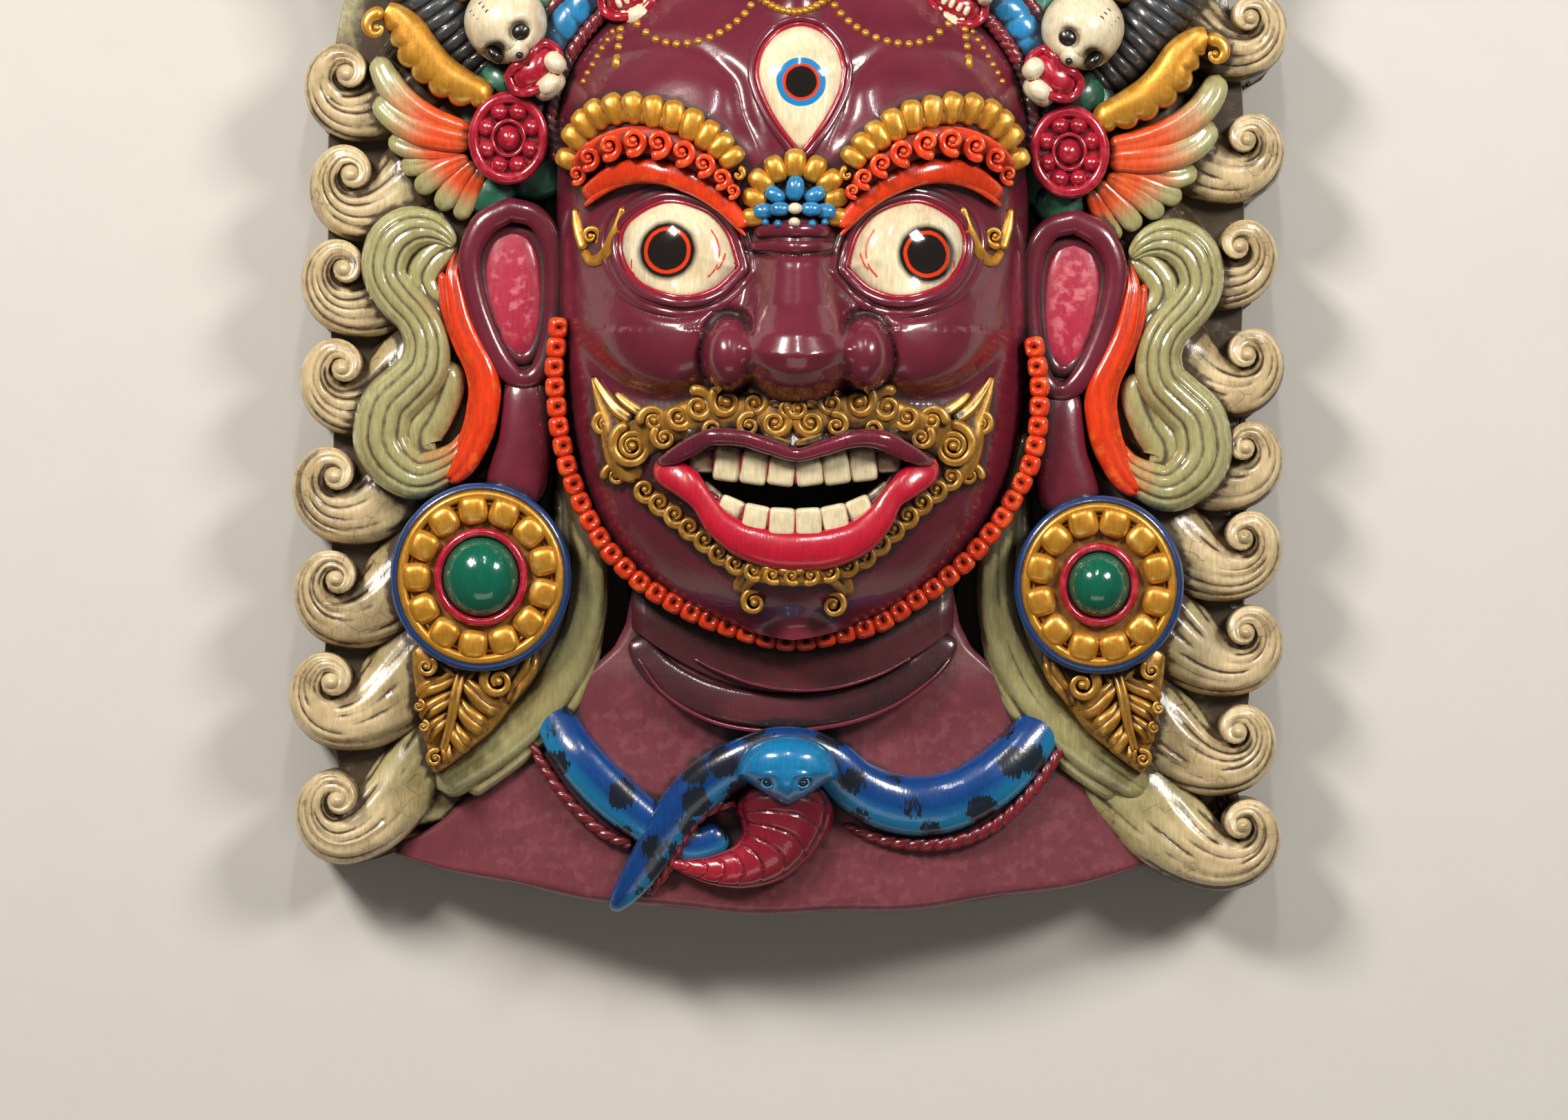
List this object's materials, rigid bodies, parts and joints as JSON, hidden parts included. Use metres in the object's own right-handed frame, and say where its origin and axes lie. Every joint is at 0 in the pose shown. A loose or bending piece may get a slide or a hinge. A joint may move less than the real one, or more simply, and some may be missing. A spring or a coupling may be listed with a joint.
{
  "type": "wall mask",
  "caption": "Large carved and painted wooden mask of a wrathful three-eyed guardian with curling hair, disc earrings, a serpent collar and a crown of skulls.",
  "frame": {"origin": "middle of the overall outline, on the flat back that the mask lies on", "axes": "+Z out of the face, +Y to the crown, +X to the viewer's right"},
  "size_m": [0.6731, 0.9142, 0.2355],
  "materials": {
    "oxblood_lacquer": "gloss painted wood"
  },
  "bodies": {
    "root": {"mahakala_mask": "oxblood_lacquer"}
  },
  "joints": []
}
